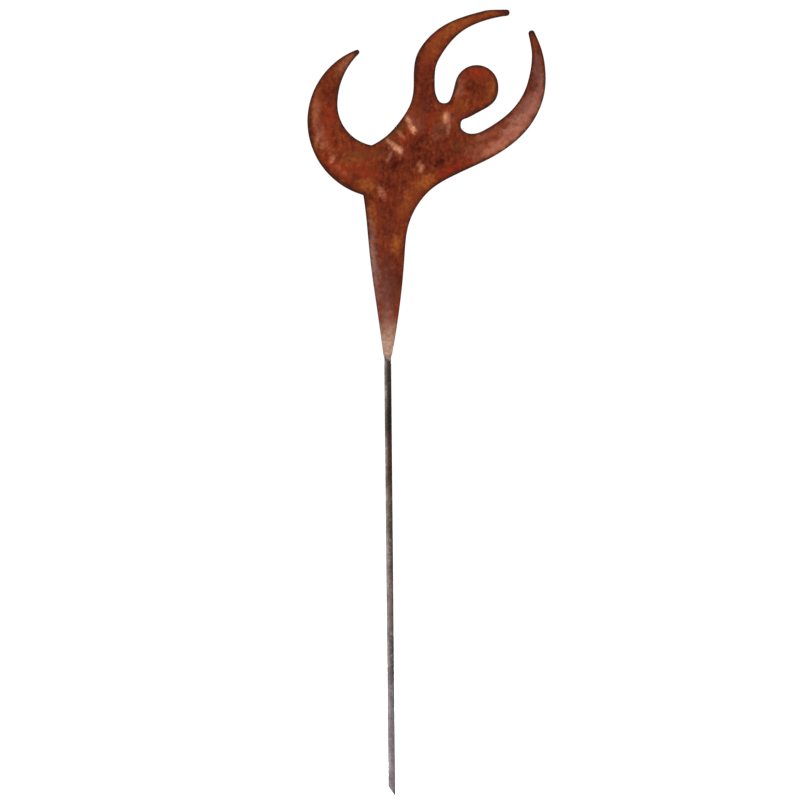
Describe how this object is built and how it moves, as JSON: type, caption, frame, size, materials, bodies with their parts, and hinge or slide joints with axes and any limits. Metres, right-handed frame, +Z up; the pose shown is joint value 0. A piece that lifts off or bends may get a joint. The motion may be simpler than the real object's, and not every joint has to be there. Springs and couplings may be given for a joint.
{
  "type": "garden stake figure",
  "caption": "Flat dancing figure with raised arms and a crescent, cut from rusted steel plate and welded to a thin round rod that is pushed into the ground.",
  "frame": {"origin": "on the rod's axis, level with the soil: 160 mm above the lowest point of the rod's foot", "axes": "+Z up along the rod, the figure's front faces -Y, +X to the right seen from the front"},
  "size_m": [0.2152, 0.0092, 0.708],
  "materials": {
    "rusted_plate": "matte",
    "rod_steel": "satin",
    "weld_bead": "satin"
  },
  "bodies": {
    "root": {"figure_plate": "rusted_plate", "stake_rod": "rod_steel", "weld_foot": "weld_bead", "weld_top": "weld_bead", "weld_left_upper": "weld_bead", "weld_left_lower": "weld_bead", "weld_right_upper": "weld_bead", "weld_right_lower": "weld_bead"}
  },
  "joints": []
}
